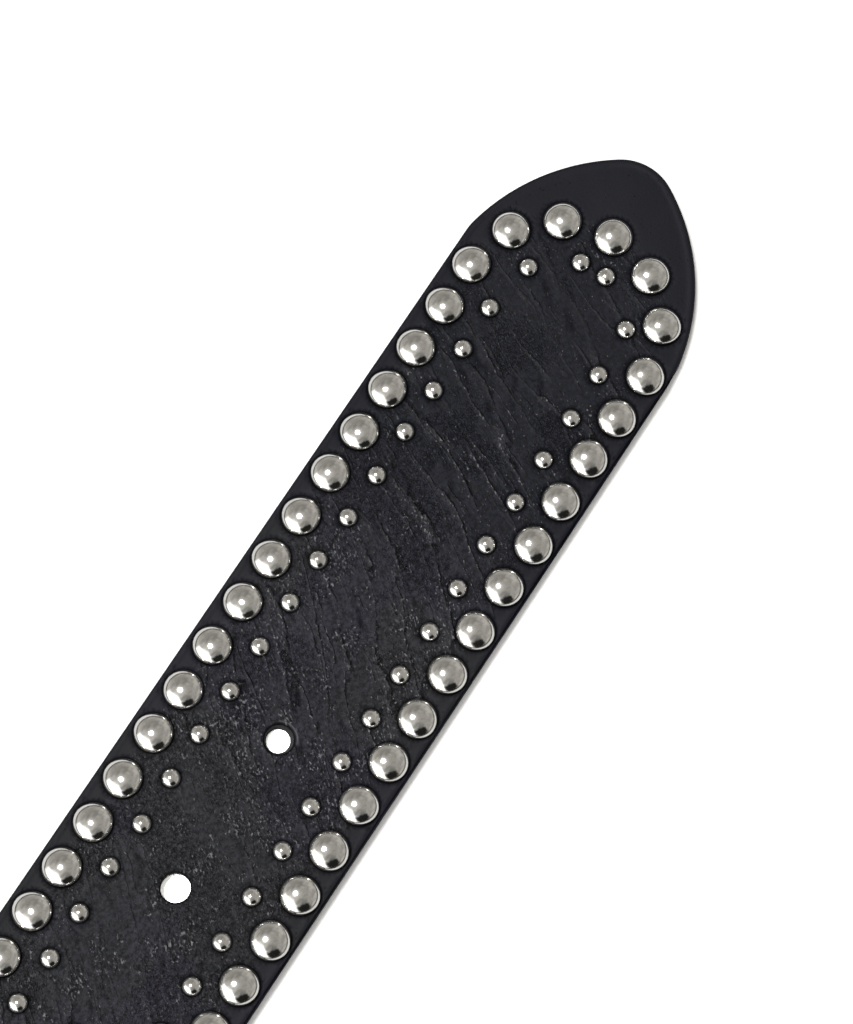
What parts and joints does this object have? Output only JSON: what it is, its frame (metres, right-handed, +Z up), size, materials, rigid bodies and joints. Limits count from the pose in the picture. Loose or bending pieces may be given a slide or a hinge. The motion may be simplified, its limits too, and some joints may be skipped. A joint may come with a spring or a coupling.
{
  "type": "studded leather belt",
  "caption": "Flat leather waist belt with rows of dome studs along both edges, a pointed end with prong holes, a one-piece frame buckle and a keeper loop.",
  "frame": {"origin": "on the surface the belt lies on, under the middle of its length and width", "axes": "+X along the belt towards its pointed end, +Y across it, +Z up, out of the studded face"},
  "size_m": [0.9928, 0.0498, 0.0157],
  "materials": {
    "leather": "satin, fine creases and grain",
    "nickel": "polished"
  },
  "bodies": {
    "root": {"strap": "leather", "keeper_loop": "leather", "buckle": "nickel"}
  },
  "joints": []
}
